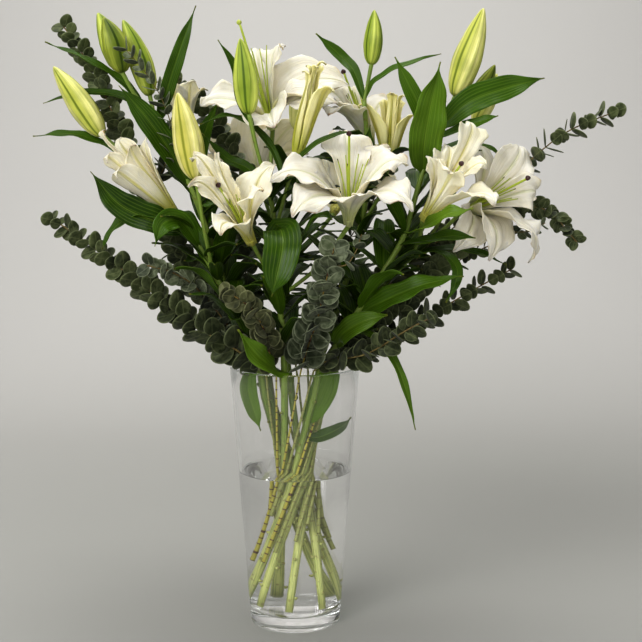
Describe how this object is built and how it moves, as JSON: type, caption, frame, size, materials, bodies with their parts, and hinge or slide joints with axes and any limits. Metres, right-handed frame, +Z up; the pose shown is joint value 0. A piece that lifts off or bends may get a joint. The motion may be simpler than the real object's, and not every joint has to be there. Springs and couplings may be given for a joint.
{
  "type": "lilies in a vase",
  "caption": "Bouquet of open white and cream lilies, green buds and eucalyptus sprays in a flared clear glass vase half full of water, for a table or shelf.",
  "frame": {"origin": "Centre of the vase's flat foot, on the surface it stands on.", "axes": "+Z up along the vase's axis; -Y is the side with the large open bloom, which the picture shows; +X is to the picture's right."},
  "size_m": [0.6588, 0.3708, 0.7],
  "materials": {
    "glass": "clear, polished",
    "water": "clear still water",
    "lily_leaf": "satin leaf with fine parallel veins",
    "petal_white": "soft matte petal with a pale green midrib",
    "petal_cream": "soft matte petal with a yellow-green midrib",
    "filament": "satin, with a dark stigma",
    "bud_green": "satin, ribbed",
    "bud_pale": "satin, ribbed",
    "eucalyptus": "matte with a dusty bloom"
  },
  "bodies": {
    "root": {"vase": "glass", "water": "water", "lily_stem_left": "lily_leaf", "lily_stem_far_left": "lily_leaf", "lily_stem_centre": "lily_leaf", "lily_stem_right": "lily_leaf", "lily_stem_far_right": "lily_leaf", "lily_stem_inner": "lily_leaf", "lily_stem_back": "lily_leaf", "lily_front_left": "petal_cream", "lily_front": "petal_white", "lily_top": "petal_white", "lily_half_open_centre": "petal_cream", "lily_behind": "petal_white", "lily_half_open_right": "petal_cream", "lily_right": "petal_cream", "lily_far_right": "petal_white", "lily_left": "petal_cream", "lily_back_left": "petal_cream", "lily_rear_left": "petal_white", "lily_rear_right": "petal_cream", "bud_left": "bud_green", "bud_upper_left_inner": "bud_green", "bud_upper_left_front": "bud_green", "bud_upper_left_back": "bud_green", "bud_centre_left": "bud_green", "bud_top": "bud_green", "bud_upper_right": "bud_green", "bud_upper_right_small": "bud_green", "bud_far_right_back": "bud_green", "bud_pale_left": "bud_pale", "bud_back": "bud_green", "eucalyptus_upper_left": "eucalyptus", "eucalyptus_left": "eucalyptus", "eucalyptus_left_pale": "eucalyptus", "eucalyptus_front_low": "eucalyptus", "eucalyptus_front": "eucalyptus", "eucalyptus_right_high": "eucalyptus", "eucalyptus_right": "eucalyptus", "eucalyptus_right_low": "eucalyptus", "eucalyptus_right_back": "eucalyptus", "eucalyptus_front_right": "eucalyptus", "eucalyptus_back_left": "eucalyptus", "eucalyptus_inner": "eucalyptus", "eucalyptus_rear_left": "eucalyptus", "eucalyptus_rear_right": "eucalyptus", "lily_behind_stamens": "filament", "lily_far_right_stamens": "filament", "lily_front_left_stamens": "filament", "lily_front_stamens": "filament", "lily_rear_left_stamens": "filament", "lily_rear_right_stamens": "filament", "lily_right_stamens": "filament", "lily_top_stamens": "filament"}
  },
  "joints": []
}
